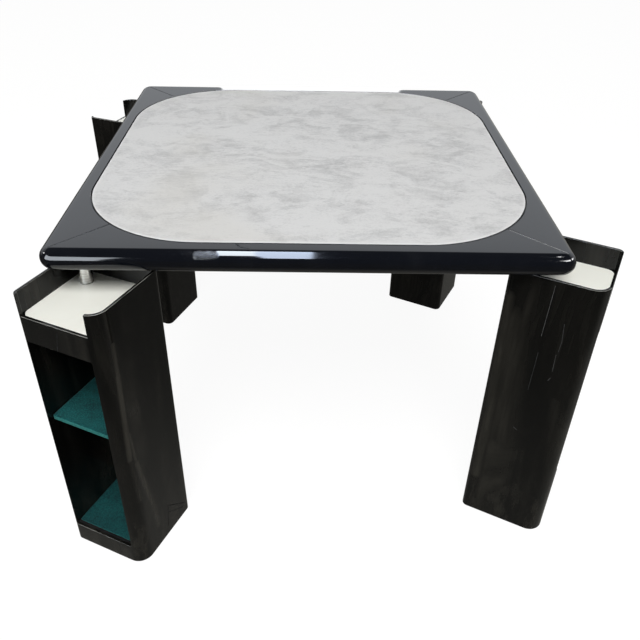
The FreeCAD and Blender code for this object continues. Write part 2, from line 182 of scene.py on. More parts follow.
def stretched(tree, coordinates, scale, turn=0.0):
    """Stretches and turns a pattern."""
    node = add_node(tree, "ShaderNodeMapping", Vector=coordinates, Scale=scale)
    node.inputs["Rotation"].default_value = (0, 0, turn)
    return node.outputs["Vector"]


def vector_sum(tree, operation, first, second, output=0):
    """Adds one vector sum and gives its result."""
    settings = {"operation": operation}
    return add_node(tree, "ShaderNodeVectorMath", settings, _0=first, _1=second).outputs[output]


def length_of(tree, vector):
    """Gives the length of a vector."""
    return add_node(tree, "ShaderNodeVectorMath", {"operation": "LENGTH"}, _0=vector).outputs["Value"]


# %% Helpers for whole materials and groups


def new_material(name, **settings):
    """Starts a material; the plain settings go straight onto its shader."""
    material = bpy.data.materials.new(name)
    material.use_nodes = True
    tree = material.node_tree
    shader = tree.nodes["Principled BSDF"]
    for key, value in settings.items():
        shader.inputs[key.replace("_", " ")].default_value = value
    place = add_node(tree, "ShaderNodeTexCoord").outputs["Object"]
    return material, tree, shader, place


def paint(tree, shader, colour, normal, roughness=None):
    """Links what varies over the surface to the shader."""
    for name, value in (("Base Color", colour), ("Normal", normal), ("Roughness", roughness)):
        if value is not None:
            tree.links.new(value, shader.inputs[name])


def new_group(name, inputs, outputs):
    """Starts a shader group with named inputs and outputs."""
    group = bpy.data.node_groups.new(name, "ShaderNodeTree")
    for label, kind, start in inputs:
        socket = group.interface.new_socket(label, in_out="INPUT", socket_type=kind)
        if start is not None:
            socket.default_value = start
    for label, kind in outputs:
        group.interface.new_socket(label, in_out="OUTPUT", socket_type=kind)
    source = group.nodes.new("NodeGroupInput")
    sink = group.nodes.new("NodeGroupOutput")
    return group, source.outputs, sink.inputs


def use_group(tree, group, **inputs):
    """Places a group in a material with its own values."""
    return add_node(tree, "ShaderNodeGroup", {"node_tree": group}, **inputs)


def bump(tree, height, strength, distance):
    """Turns a height into a bent normal."""
    return add_node(
        tree, "ShaderNodeBump", Height=height, Strength=strength, Distance=distance,
    ).outputs["Normal"]


# %% [markdown]
# ## Shared wear, haze and painted light
#
# Polished black lacquer is never quite black: it holds a thin grey-brown haze of wiping marks,
# and a few specks of dust. One group makes them as masks. Two more mark a straight line between two
# points, one as a crisp hairline that is broken here and there and one as a soft streak, which the
# legs use for painted reflections. The last finds the narrow rounded edges and gives them a painted
# highlight, a pale line broken by noise where the edge is worn. Each could be drawn again in every
# material, but a group is built once and takes its own values wherever it is used.

# %% Build the lacquer haze group
FLOAT, VECTOR = "NodeSocketFloat", "NodeSocketVector"

haze_group, source, sink = new_group(
    "lacquer_haze",
    [
        ("Vector", VECTOR, None), ("Streak Scale", FLOAT, 9.0), ("Smear Scale", FLOAT, 4.0),
        ("Wave Stretch", VECTOR, (1, 1, 1)),
    ],
    [("Haze", FLOAT), ("Dust", FLOAT), ("Waves", FLOAT)],
)
tree = haze_group
upright_place = stretched(tree, source["Vector"], (1.0, 1.0, 0.06))
streaks = noise(tree, upright_place, source["Streak Scale"], 3.0, 0.55, 0.4)
smeared_place = stretched(tree, source["Vector"], (1.0, 1.0, 0.35))
smears = noise(tree, smeared_place, source["Smear Scale"], 4.0, 0.6, 1.2)
lightened = times(tree, ramp_between(tree, streaks, 0.38, 0.68), ramp_between(tree, smears, 0.35, 0.7))
tree.links.new(lightened, sink["Haze"])
speck_field = add_node(tree, "ShaderNodeTexVoronoi", Vector=source["Vector"], Scale=260.0)
speck = ramp_between(tree, speck_field.outputs["Distance"], 0.05, 0.12, 1.0, 0.0)
chosen = ramp_between(tree, speck_field.outputs["Color"], 0.80, 0.84)
tree.links.new(times(tree, speck, chosen), sink["Dust"])
wave_place = vector_sum(tree, "MULTIPLY", source["Vector"], source["Wave Stretch"])
tree.links.new(noise(tree, wave_place, 7.0, 2.0, 0.4, 0.3), sink["Waves"])
print("group:", haze_group.name, "sockets:", len(haze_group.interface.items_tree))

# %% Build the groups for hairlines and soft smears
def line_group(name, core, broken_low):
    """A mark along a straight line: full within a share of its width and soft outside."""
    group, source, sink = new_group(
        name,
        [("Vector", VECTOR, None), ("Start", VECTOR, None), ("End", VECTOR, None), ("Width", FLOAT, 0.0006)],
        [("Mark", FLOAT)],
    )
    along = vector_sum(group, "SUBTRACT", source["End"], source["Start"])
    reach = vector_sum(group, "SUBTRACT", source["Vector"], source["Start"])
    dots = [vector_sum(group, "DOT_PRODUCT", first, along, 1) for first in (reach, along)]
    share = calculate(group, "DIVIDE", *dots, clamp=True)
    nearest = add_node(group, "ShaderNodeVectorMath", {"operation": "SCALE"}, _0=along, Scale=share).outputs[0]
    gap = length_of(group, vector_sum(group, "SUBTRACT", reach, nearest))
    near = calculate(group, "DIVIDE", gap, source["Width"])
    patchy = noise(group, source["Vector"], 120.0, 3.0, 0.7)
    broken = ramp_between(group, patchy, 0.38, 0.50, broken_low, 1.0)
    group.links.new(times(group, ramp_between(group, near, core, 1.0, 1.0, 0.0), broken), sink["Mark"])
    return group


hairline_group = line_group("hairline", 0.4, 0.55)
reflection_streak_group = line_group("smear", 0.0, 1.0)
print("groups:", hairline_group.name, reflection_streak_group.name)

# %% Build the arris highlight group
arris_highlight_group, source, sink = new_group(
    "painted_arris_highlight", [("Normal", VECTOR, None), ("Vector", VECTOR, None)], [("Arris Highlight", FLOAT)],
)
tree = arris_highlight_group
# Painted highlight: a pale line where the normal is neither flat nor upright, on the rounded edges, broken by
# noise where worn.
slope = calculate(tree, "ABSOLUTE", height_of(tree, source["Normal"]))
not_flat = ramp_between(tree, slope, 0.90, 0.98, 1.0, 0.0)
turning = times(tree, ramp_between(tree, slope, 0.25, 0.5), not_flat)
rubbed_through = ramp_between(tree, noise(tree, source["Vector"], 14.0, 3.0, 0.6), 0.42, 0.60, 0.25, 1.0)
tree.links.new(times(tree, turning, rubbed_through), sink["Arris Highlight"])
print("group:", arris_highlight_group.name)

# %% [markdown]
# ## Black lacquer
#
# The real finish is pigmented polyester over board, polished flat. It is nearly black with a clear,
# mirror-like face. The Principled shader gives that with a dark base and low roughness, and the haze
# group lifts the base a little where hands and cloths have left their marks. On the legs the base is
# also lifted as painted reflection, in soft streaks and towards the floor. A table lists each
# hairline by start, end, width and grey, and another each painted reflection streak by start, end,
# width and strength.

# %% Make the lacquers
LACQUER_BLACK = (0.0028, 0.0036, 0.0062)
LEG_BLACK = (0.0040, 0.0040, 0.0036)
HAZE_AND_REFLECTION_BROWN = (0.042, 0.039, 0.032)
FRAME_HAZE = (0.012, 0.013, 0.016)
DUST_GREY = (0.10, 0.10, 0.10)
DUST_SHARE = 0.35
ARRIS_HIGHLIGHT_GREY = (0.24, 0.24, 0.22)
TOP_FACE = 0.734
MITRE_OUT, MITRE_IN = 0.486, 0.391
LEG_HAIRLINES = (
    ((0.4642, -0.4940, 0.6713), (0.4619, -0.4928, 0.5530), 0.0007, 0.08),
    ((0.4936, -0.5097, 0.5938), (0.4971, -0.5115, 0.5521), 0.0007, 0.05),
    ((0.4971, -0.5115, 0.5521), (0.4959, -0.5109, 0.5276), 0.0007, 0.05),
    ((0.4936, -0.5097, 0.5185), (0.4946, -0.5102, 0.4761), 0.0007, 0.06),
    ((0.4944, -0.5101, 0.4590), (0.4914, -0.5085, 0.4509), 0.0008, 0.07),
    ((0.4635, -0.4936, 0.5120), (0.4620, -0.4929, 0.4126), 0.0007, 0.025),
    ((0.4530, -0.4881, 0.2990), (0.4607, -0.4922, 0.2937), 0.0008, 0.06),
    ((-0.4498, -0.5935, 0.6219), (-0.4584, -0.5895, 0.5770), 0.0008, 0.003),
    ((-0.4180, -0.6080, 0.0480), (-0.4180, -0.6080, 0.0150), 0.0008, 0.004),
    ((-0.3174, -0.5351, 0.0865), (-0.2927, -0.4809, 0.0323), 0.0012, 0.002),
    ((-0.3174, -0.5351, 0.0865), (-0.3210, -0.5430, 0.0259), 0.0012, 0.002),
    ((-0.3172, -0.5345, 0.0633), (-0.2959, -0.4878, 0.0258), 0.0010, 0.002),
)
# Painted reflections: soft lighter streaks down the legs, by start, end, width and strength.
LEG_PAINTED_REFLECTIONS = (
    ((-0.3492, -0.6049, 0.6067), (-0.3498, -0.6062, 0.5330), 0.008, 1.3),
    ((-0.3498, -0.6062, 0.5330), (-0.3516, -0.6101, 0.4280), 0.010, 1.5),
    ((-0.3516, -0.6101, 0.4280), (-0.3537, -0.6148, 0.3193), 0.010, 1.6),
    ((-0.3537, -0.6148, 0.3193), (-0.3509, -0.6085, 0.1936), 0.011, 0.5),
    ((-0.3504, -0.6074, 0.3849), (-0.3473, -0.6007, 0.2984), 0.009, 0.9),
    ((-0.3473, -0.6007, 0.2984), (-0.3380, -0.5803, 0.1501), 0.013, 1.3),
    ((-0.3380, -0.5803, 0.1501), (-0.3338, -0.5710, 0.0667), 0.016, 0.8),
    ((0.3921, -0.4557, 0.6223), (0.4008, -0.4603, 0.3595), 0.020, 0.8),
    ((0.4008, -0.4603, 0.3595), (0.4023, -0.4611, 0.1189), 0.020, 0.8),
    ((0.4107, -0.4656, 0.5715), (0.4340, -0.4780, 0.2485), 0.050, 0.45),
    ((0.5148, -0.5209, 0.4035), (0.5570, -0.5434, 0.0552), 0.020, 0.25),
)
RAIL_HAIRLINES = (
    ((-MITRE_OUT, -MITRE_OUT, TOP_FACE), (-MITRE_IN, -MITRE_IN, TOP_FACE), 0.0014, 0.002),
    ((MITRE_IN, -MITRE_IN, TOP_FACE), (MITRE_OUT, -MITRE_OUT, TOP_FACE), 0.0011, 0.30),
    ((-MITRE_OUT, MITRE_OUT, TOP_FACE), (-MITRE_IN, MITRE_IN, TOP_FACE), 0.0018, 0.002),
    ((MITRE_IN, MITRE_IN, TOP_FACE), (MITRE_OUT, MITRE_OUT, TOP_FACE), 0.0018, 0.002),
    ((-0.1371, -0.4588, TOP_FACE), (-0.1260, -0.4720, TOP_FACE), 0.0032, 0.001),
    ((-0.1260, -0.4720, TOP_FACE), (-0.1128, -0.4750, TOP_FACE), 0.0028, 0.001),
)
SCUFFED_EDGE = ((-0.2040, -0.4920, 0.7290), (-0.1760, -0.4920, 0.7290), 0.012)


def line_mark(tree, group, place, start, end, width):
    """Draws one line's mark."""
    return use_group(tree, group, Vector=place, Start=start, End=end, Width=width).outputs["Mark"]


def make_lacquer(name, black, haze_and_reflection_colour, haze_share, gloss, ior, waves, hairlines, smears, arris_highlight_share):
    """A polished black finish with haze, dust, slow waves and hairlines, painted reflections as lighter streaks
    and low down, and a painted highlight, a pale line on the rounded edges that is worn in places.
    """
    material, tree, shader, place = new_material(name, IOR=ior)
    marks = use_group(tree, haze_group, Vector=place, Streak_Scale=22.0, Smear_Scale=6.0, Wave_Stretch=waves[1])
    geometry = add_node(tree, "ShaderNodeNewGeometry").outputs["Normal"]
    arris_highlight = use_group(tree, arris_highlight_group, Normal=geometry, Vector=place).outputs["Arris Highlight"]
    # Painted reflection of the floor: the legs are lighter towards the floor, broken by scuff noise.
    near_floor_painted_light = ramp_between(tree, height_of(tree, place), 0.02, 0.25, 0.5, 0.0)
    knocks = noise(tree, stretched(tree, place, (1.0, 1.0, 0.3)), 40.0, 4.0, 0.65)
    floor_reflection_and_scuffs = times(tree, near_floor_painted_light, ramp_between(tree, knocks, 0.42, 0.70))
    lightened = larger(tree, times(tree, marks.outputs["Haze"], haze_share), floor_reflection_and_scuffs)
    wiped = noise(tree, stretched(tree, place, (1.0, 1.0, 0.1)), 90.0, 3.0, 0.6)
    grain = ramp_between(tree, wiped, 0.3, 0.7, 0.5, 1.0)
    # Painted reflection streaks lift the base towards the haze colour.
    for start, end, width, share in smears:
        smear = line_mark(tree, reflection_streak_group, place, start, end, width)
        lightened = larger(tree, lightened, times(tree, times(tree, smear, share), grain))
    colour = mix_colours(tree, lightened, black, haze_and_reflection_colour)
    colour = mix_colours(tree, times(tree, marks.outputs["Dust"], DUST_SHARE), colour, DUST_GREY)
    # Painted highlight: the rounded edges are mixed towards a pale grey.
    colour = mix_colours(tree, times(tree, arris_highlight, arris_highlight_share), colour, ARRIS_HIGHLIGHT_GREY)
    marked = 0.0
    for start, end, width, grey in hairlines:
        mark = line_mark(tree, hairline_group, place, start, end, width)
        colour = mix_colours(tree, mark, colour, (grey, grey, grey))
        marked = larger(tree, mark, marked)
    smooth = ramp_between(tree, lightened, 0.0, 1.0, gloss, gloss + 0.12)
    scuffed = line_mark(tree, hairline_group, place, *SCUFFED_EDGE)
    dings = times(tree, scuffed, noise(tree, place, 260.0, 3.0, 0.75))
    relief = plus(tree, times(tree, marks.outputs["Waves"], waves[0]), times(tree, dings, 0.32))
    paint(tree, shader, colour, bump(tree, relief, 1.0, 0.004), larger(tree, smooth, marked))
    return material


frame_lacquer = make_lacquer(
    "frame_lacquer", LACQUER_BLACK, FRAME_HAZE, 0.3, 0.06, 1.46, (0.02, (1, 1, 1)), RAIL_HAIRLINES, (), 0.0,
)
leg_lacquer = make_lacquer(
    "leg_lacquer", LEG_BLACK, HAZE_AND_REFLECTION_BROWN, 0.6, 0.12, 1.32, (0.16, (2.6, 2.6, 0.10)),
    LEG_HAIRLINES, LEG_PAINTED_REFLECTIONS, 0.9,
)
print("lacquers:", frame_lacquer.name, leg_lacquer.name)

# %% [markdown]
# ## Suede, felt, laminate and metals
#
# Suede is a short nap that lies in brushed patches, so its lightness changes slowly over a hand's
# breadth and finely along the brush. Felt is a dense mat of short fibres. The tray's laminate is
# smooth and satin, with a little dirt, and the metals are turned, with rings round their axis. The
# hidden boards are stained nearly black, and the glides are scuffed nylon. Image textures could
# colour them all, but a few noise patterns need no files, have no seams and stay sharp close up.

# %% Make the suede
SUEDE_LIGHT = (0.69, 0.69, 0.685)
SUEDE_DARK = (0.47, 0.47, 0.47)
SUEDE_YELLOWED = (0.655, 0.64, 0.60)
SUEDE_EDGE_HIGHLIGHT = (0.80, 0.80, 0.795)
SUEDE_GAP_SHADOW = (0.010, 0.010, 0.011)
FOOT_TOP, FOOT_END = 0.7334, 0.7341
BRUSHED_BANDS = (
    (0.10, 0.16, 0.22, 0.10), (-0.24, -0.02, 0.14, 0.12), (-0.27, -0.14, 0.20, 0.05),
    (0.05, -0.08, 0.20, 0.06), (0.34, 0.03, 0.09, 0.13), (-0.10, 0.26, 0.22, 0.05),
)


def patch_mask(tree, place, patches):
    """Adds up soft oval patches on the table's face."""
    total = None
    for x, y, half_x, half_y in patches:
        node = add_node(tree, "ShaderNodeMapping", Vector=place)
        node.inputs["Location"].default_value = (-x / half_x, -y / half_y, 0)
        node.inputs["Scale"].default_value = (1 / half_x, 1 / half_y, 0)
        mask = ramp_between(tree, length_of(tree, node.outputs["Vector"]), 0.3, 1.2, 1.0, 0.0)
        total = mask if total is None else larger(tree, total, mask)
    return total


suede, tree, shader, place = new_material(
    "suede", Roughness=0.95, Sheen_Weight=0.15, Sheen_Roughness=0.5, Specular_IOR_Level=0.2,
)
cloudy = noise(tree, stretched(tree, place, (1.0, 2.2, 1.0)), 9.0, 5.0, 0.6, 0.5)
smeared = noise(tree, stretched(tree, place, (1.0, 1.3, 1.0)), 10.0, 4.0, 0.62, 1.0)
scuffed = noise(tree, stretched(tree, place, (1.0, 1.5, 1.0), 0.35), 40.0, 3.0, 0.65, 0.9)
brushed = noise(tree, stretched(tree, place, (1.0, 4.5, 1.0)), 34.0, 5.0, 0.7, 0.2)
nap = noise(tree, stretched(tree, place, (1.0, 2.0, 1.0)), 190.0, 4.0, 0.75)
grain = noise(tree, place, 700.0, 2.0, 0.6)
worked = patch_mask(tree, place, BRUSHED_BANDS)
dark = times(tree, ramp_between(tree, cloudy, 0.42, 0.70), 0.30)
dark = plus(tree, dark, ramp_between(tree, smeared, 0.40, 0.66, -0.14, 0.40))
dark = plus(tree, dark, ramp_between(tree, scuffed, 0.48, 0.70, -0.04, 0.26))
dark = plus(tree, dark, times(tree, ramp_between(tree, brushed, 0.44, 0.68), 0.20))
dark = plus(tree, dark, times(tree, worked, ramp_between(tree, brushed, 0.36, 0.60, 0.0, 0.30)))
dark = plus(tree, dark, ramp_between(tree, nap, 0.40, 0.70, -0.16, 0.36), clamp=True)
colour = mix_colours(tree, dark, SUEDE_LIGHT, SUEDE_DARK)
yellowed = ramp_between(tree, noise(tree, place, 2.6, 3.0), 0.5, 0.72, 0.0, 0.5)
colour = mix_colours(tree, yellowed, colour, SUEDE_YELLOWED)
# Painted highlight: a pale line along the rolled edge of the suede.
edge = add_node(tree, "ShaderNodeAttribute", {"attribute_name": "edge"}).outputs["Fac"]
colour = mix_colours(tree, times(tree, edge, 0.65), colour, SUEDE_EDGE_HIGHLIGHT)
# Painted shadow: the suede's side below its top is made nearly black where it sits in the gap.
painted_gap_shadow = ramp_between(tree, height_of(tree, place), FOOT_TOP, FOOT_END, 1.0, 0.0)
colour = mix_colours(tree, painted_gap_shadow, colour, SUEDE_GAP_SHADOW)
pile = plus(tree, plus(tree, nap, grain), times(tree, brushed, 0.8))
paint(tree, shader, colour, bump(tree, pile, 0.30, 0.0006))
print("suede patches:", len(BRUSHED_BANDS))

# %% Make the felt
FELT_LIGHT = (0.007, 0.128, 0.124)
FELT_DARK = (0.001, 0.018, 0.022)
FELT_EDGE_HIGHLIGHT = (0.034, 0.320, 0.285)
FELT_SHADED = (0.004, 0.030, 0.032)
felt, tree, shader, place = new_material(
    "teal_felt", Roughness=1.0, Sheen_Weight=0.06, Sheen_Roughness=0.6, Specular_IOR_Level=0.1,
)
fibres = noise(tree, place, 900.0, 3.0, 0.75, 0.6)
tufts = noise(tree, place, 380.0, 3.0, 0.7, 0.4)
worn = noise(tree, place, 24.0, 4.0, 0.6)
mottle = ramp_between(tree, fibres, 0.35, 0.65, 0.0, 0.35)
mottle = plus(tree, mottle, ramp_between(tree, tufts, 0.38, 0.62, 0.0, 0.60))
mottle = plus(tree, mottle, ramp_between(tree, worn, 0.40, 0.70, 0.0, 0.25), clamp=True)
colour = mix_colours(tree, mottle, FELT_LIGHT, FELT_DARK)
# Painted highlight: the felt is made lighter wherever it turns down from the top, on the rolled edge and the
# sides, broken by tufts.
facing = height_of(tree, add_node(tree, "ShaderNodeNewGeometry").outputs["Normal"])
thinned = ramp_between(tree, tufts, 0.35, 0.6, 1.0, 0.5)
painted_edge_highlight = times(tree, ramp_between(tree, facing, 0.25, 0.75, 0.7, 0.0), thinned)
# Painted shade: the felt is made darker towards the floor, so the lower cubby's felt is darker.
near_floor_painted_light = ramp_between(tree, height_of(tree, place), 0.05, 0.30, 0.45, 0.0)
colour = mix_colours(tree, near_floor_painted_light, colour, FELT_SHADED)
colour = mix_colours(tree, painted_edge_highlight, colour, FELT_EDGE_HIGHLIGHT)
paint(tree, shader, colour, bump(tree, plus(tree, fibres, tufts), 0.7, 0.0010))
print("finish:", felt.name)

# %% Make the laminate
LAMINATE_CREAM, LAMINATE_SOILED, SPECK_BROWN = (0.93, 0.93, 0.85), (0.82, 0.81, 0.71), (0.3, 0.28, 0.22)
laminate, tree, shader, place = new_material("cream_laminate", IOR=1.48)
soiled = ramp_between(tree, noise(tree, place, 9.0, 5.0, 0.65, 0.7), 0.48, 0.8, 0.0, 0.4)
specks = use_group(tree, haze_group, Vector=place).outputs["Dust"]
colour = mix_colours(tree, soiled, LAMINATE_CREAM, LAMINATE_SOILED)
colour = mix_colours(tree, times(tree, specks, 0.3), colour, SPECK_BROWN)
texture = bump(tree, noise(tree, place, 700.0, 2.0), 0.06, 0.0003)
paint(tree, shader, colour, texture, ramp_between(tree, soiled, 0.0, 0.5, 0.34, 0.5))
print("finish:", laminate.name)

# %% Make the metals
RING_SCALE = 60.0


def make_metal(name, colour, dull, roughness):
    """A turned metal: fine rings along the axis and a few duller places."""
    material, tree, shader, place = new_material(name, Metallic=1.0)
    rings = noise(tree, stretched(tree, place, (2.0, 2.0, RING_SCALE)), 12.0, 3.0, 0.7)
    tarnish = ramp_between(tree, noise(tree, place, 60.0, 4.0, 0.6), 0.45, 0.75)
    banded = larger(tree, ramp_between(tree, rings, 0.42, 0.62), times(tree, tarnish, 0.4))
    paint(
        tree, shader, mix_colours(tree, banded, colour, dull), bump(tree, rings, 0.15, 0.0004),
        ramp_between(tree, tarnish, 0.0, 1.0, roughness, roughness + 0.1),
    )
    return material


steel = make_metal("turned_steel", (0.66, 0.66, 0.65), (0.42, 0.41, 0.39), 0.10)
bronze = make_metal("bush_bronze", (0.62, 0.42, 0.20), (0.32, 0.22, 0.11), 0.32)
print("metals:", steel.name, bronze.name)

# %% Make the dark board and the nylon
BOARD_BLACK, BOARD_GRAIN = (0.004, 0.004, 0.005), (0.013, 0.012, 0.011)
NYLON_BLACK, NYLON_SCUFFED = (0.018, 0.018, 0.019), (0.07, 0.068, 0.065)
board, tree, shader, place = new_material("stained_board", IOR=1.28)
grain = noise(tree, stretched(tree, place, (1.0, 14.0, 14.0)), 14.0, 5.0, 0.6, 0.5)
colour = mix_colours(tree, ramp_between(tree, grain, 0.35, 0.7), BOARD_BLACK, BOARD_GRAIN)
paint(tree, shader, colour, bump(tree, grain, 0.2, 0.0006), ramp_between(tree, grain, 0.3, 0.7, 0.5, 0.7))

nylon, tree, shader, place = new_material("black_nylon", IOR=1.5)
scuffs = ramp_between(tree, noise(tree, place, 220.0, 4.0, 0.7), 0.5, 0.8)
colour = mix_colours(tree, scuffs, NYLON_BLACK, NYLON_SCUFFED)
paint(tree, shader, colour, bump(tree, scuffs, 0.1, 0.0004), ramp_between(tree, scuffs, 0.0, 1.0, 0.42, 0.7))

SLOT_MATERIALS = {
    "black_lacquer": leg_lacquer, "suede": suede, "dark_board": board, "cream_laminate": laminate,
    "teal_felt": felt, "steel": steel, "bearing_bronze": bronze, "black_plastic": nylon,
}
for part in frame["record"]["subparts"]:
    for slot in NODES[part["node"]].material_slots:
        slot.material = SLOT_MATERIALS[part["material_slot"]]
print("materials:", len(bpy.data.materials))

# %% [markdown]
# ## The four mitred rails
#
# Each rail is a long board with a half-round outer edge, cut at 45 degrees where it meets its
# neighbours. The section changes along the way, because the inner edge is part of a big rounded
# square. So the mesh is a strip of sections: each joins a point on the outer edge to one on the
# recess. The two ends have a fine arris, which makes the joint read as a hairline.

# %% Sizes of the frame
TOP_HALF, TOP_Z, UNDER_Z = 0.5, TOP_FACE, 0.689
ROUND = 0.022
MIDDLE_FLAT = 0.001
PLAN_RADIUS = 0.029
RECESS_HALF_X, RECESS_HALF_Y, RECESS_RADIUS, RECESS_Z = 0.4635, 0.457, 0.248, 0.726
CORE_HALF = 0.350
ARRIS = 0.0002
EDGE_STEPS = 24
RECESS_ARC_STEPS, RECESS_SIDE_STEPS = 28, 24
PLAN_ARC_STEPS = 10


def half_path(along, across, radius, arc_steps, straight_steps):
    """Points of the front side of a rounded rectangle, from its left diagonal to its right one."""
    centre_x, centre_y = along - radius, across - radius
    lean = (centre_x - centre_y) / radius / math.sqrt(2)
    first = math.radians(315) - math.acos(lean)
    points = []
    for step in range(arc_steps + 1):
        angle = first + (math.radians(270) - first) * step / arc_steps
        points.append((-centre_x + radius * math.cos(angle), -centre_y + radius * math.sin(angle)))
    for step in range(1, straight_steps):
        points.append((-centre_x + 2 * centre_x * step / straight_steps, -across))
    points += [(-x, y) for x, y in reversed(points[:arc_steps + 1])]
    return points


def outward(along, across, radius, point):
    """Direction that the edge faces at a point of the front side."""
    x = max(radius - along, min(along - radius, point[0]))
    return Vector((point[0] - x, point[1] + across - radius, 0)).normalized()


# %% Sample the three lines that a rail follows
def matching_outer_line(count):
    """The outer edge, with as many points as the recess line, the corner's arc first."""
    centre = TOP_HALF - PLAN_RADIUS
    arc = half_path(TOP_HALF, TOP_HALF, PLAN_RADIUS, PLAN_ARC_STEPS, 2)[:PLAN_ARC_STEPS + 1]
    between_arcs = count - 2 * len(arc)
    spacing = 2 * centre / (between_arcs + 1)
    straight = [(-centre + spacing * (k + 1), -TOP_HALF) for k in range(between_arcs)]
    return arc + straight + [(-x, y) for x, y in reversed(arc)]


def rail_lines(along, across):
    """The outer, recess and core lines of a rail whose recess reaches that far along and across."""
    recess = half_path(along, across, RECESS_RADIUS, RECESS_ARC_STEPS, RECESS_SIDE_STEPS)
    core = [(max(-CORE_HALF, min(CORE_HALF, x)), -CORE_HALF) for x, _ in recess]
    core[0], core[-1] = (-CORE_HALF, -CORE_HALF), (CORE_HALF, -CORE_HALF)
    return matching_outer_line(len(recess)), recess, core


print("sections along a rail:", len(rail_lines(RECESS_HALF_X, RECESS_HALF_Y)[0]))


def rail_section(outer, inner, core, reach, inset):
    """One closed section, from the core's lower edge round the outside to the recess and back."""
    facing = outward(TOP_HALF, TOP_HALF, PLAN_RADIUS, outer)
    tip = Vector((*outer, 0)) - facing * inset
    radius = ROUND - inset
    low, high = UNDER_Z + inset, TOP_Z - inset
    points = [Vector((*core, low))]
    for step in range(EDGE_STEPS + 1):
        angle = math.radians(-90 + 180 * step / EDGE_STEPS)
        flat = MIDDLE_FLAT / 2 if angle > 0 else -MIDDLE_FLAT / 2
        height = (UNDER_Z + TOP_Z) / 2 + flat + radius * math.sin(angle)
        spot = tip - facing * radius * (1 - math.cos(angle))
        points.append(Vector((spot.x, spot.y, height)))
    lip = Vector((*inner, 0))
    inward = -outward(*reach, RECESS_RADIUS, inner)
    edge = lip - inward * (inset + ARRIS)
    points.append(Vector((edge.x, edge.y, high)))
    wall = lip - inward * inset
    points.append(Vector((wall.x, wall.y, high - ARRIS)))
    points.append(Vector((wall.x, wall.y, RECESS_Z - inset)))
    points.append(Vector((*core, RECESS_Z - inset)))
    return points


# %% Helpers for making a piece
CREASE_ANGLE = math.radians(32)


def add_object(name, mesh):
    """Puts a finished mesh in the scene."""
    piece = bpy.data.objects.new(name, mesh)
    bpy.context.scene.collection.objects.link(piece)
    return piece


def mesh_object(name, mesh_maker):
    """Makes an object from a bmesh recipe, with its faces outwards and its creases sharp."""
    mesh = bpy.data.meshes.new(name)
    shape = bmesh.new()
    mesh_maker(shape)
    if shape.faces:
        bmesh.ops.recalc_face_normals(shape, faces=shape.faces)
    shape.to_mesh(mesh)
    shape.free()
    if mesh.polygons:
        mesh.shade_smooth()
        mesh.set_sharp_from_angle(angle=CREASE_ANGLE)
    return add_object(name, mesh)


def fix_to_body(piece, body, replaced):
    """Fixes a piece to its body in place of the plain solids it shows."""
    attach(piece, body)
    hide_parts(*replaced)
    return piece


def build_object(name, mesh_maker, material, body, replaced):
    """Makes a piece from a bmesh recipe and fixes it to its body."""
    piece = mesh_object(name, mesh_maker)
    piece.data.materials.append(material)
    return fix_to_body(piece, body, replaced)


def skin(shape, low, high):
    """Joins two closed loops with a band of faces."""
    for k in range(len(low)):
        after = (k + 1) % len(low)
        shape.faces.new((low[k], low[after], high[after], high[k]))


def join_loops(shape, loops):
    """Skins a stack of closed loops and closes both ends."""
    for low, high in zip(loops, loops[1:]):
        skin(shape, low, high)
    shape.faces.new(loops[-1])
    shape.faces.new(list(reversed(loops[0])))


# %% Build the rails
END_STEP = 0.25


def between(first, second, share):
    """Gives the point that lies a share of the way between two."""
    return tuple(a + (b - a) * share for a, b in zip(first, second))


def rail_sections(along, across):
    """All sections of one rail, with an arris at both mitres."""
    reach = (along, across)
    lines = list(zip(*rail_lines(along, across)))
    near, far = (
        [between(a, b, END_STEP) for a, b in zip(end, neighbour)]
        for end, neighbour in ((lines[0], lines[1]), (lines[-1], lines[-2]))
    )
    sections = [rail_section(*lines[0], reach, ARRIS)]
    for outer, inner, core in [near, *lines[1:-1], far]:
        sections.append(rail_section(outer, inner, core, reach, 0.0))
    sections.append(rail_section(*lines[-1], reach, ARRIS))
    return sections


def make_rail(turn, along, across):
    """Gives the recipe of the rail on one side of the table."""
    def maker(shape):
        spin = Matrix.Rotation(turn, 3, "Z")
        sections = rail_sections(along, across)
        join_loops(shape, [[shape.verts.new(spin @ point) for point in section] for section in sections])
    return maker


for side, quarter in (("front", 0), ("right", 1), ("back", 2), ("left", 3)):
    node = f"frame_rail_{side}"
    reach = (RECESS_HALF_X, RECESS_HALF_Y) if quarter % 2 == 0 else (RECESS_HALF_Y, RECESS_HALF_X)
    recipe = make_rail(quarter * math.pi / 2, *reach)
    rail = build_object(f"rail_{side}", recipe, frame_lacquer, BODY_OF[node], [node])
    print(rail.name, len(rail.data.polygons), "faces")

# %% [markdown]
# ## The suede field
#
# The playing field is a thin board covered in suede and dropped into the recess. Its edge is softly
# rounded where the leather turns over, and a pale line is painted there as a painted highlight. The
# piece stores how near each point is to that edge, and the suede material reads the value.

# %% Build the suede field
FIELD_GAP = 0.0032
SUEDE_LOW, SUEDE_HIGH = (corner.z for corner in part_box("playing_field_suede"))
SUEDE_TURN = 0.0016
FIELD_SIDE_STEPS, TURN_STEPS = 12, 6


def full_path(half_x, half_y, radius, inset):
    """A closed rounded rectangle, moved inwards by a distance."""
    points = []
    for quarter in range(4):
        along, across = (half_x, half_y) if quarter % 2 == 0 else (half_y, half_x)
        spin = Matrix.Rotation(quarter * math.pi / 2, 2)
        for point in half_path(along, across, radius, RECESS_ARC_STEPS, FIELD_SIDE_STEPS)[:-1]:
            facing = outward(along, across, radius, point).to_2d()
            points.append(spin @ (Vector(point) - facing * inset))
    return points


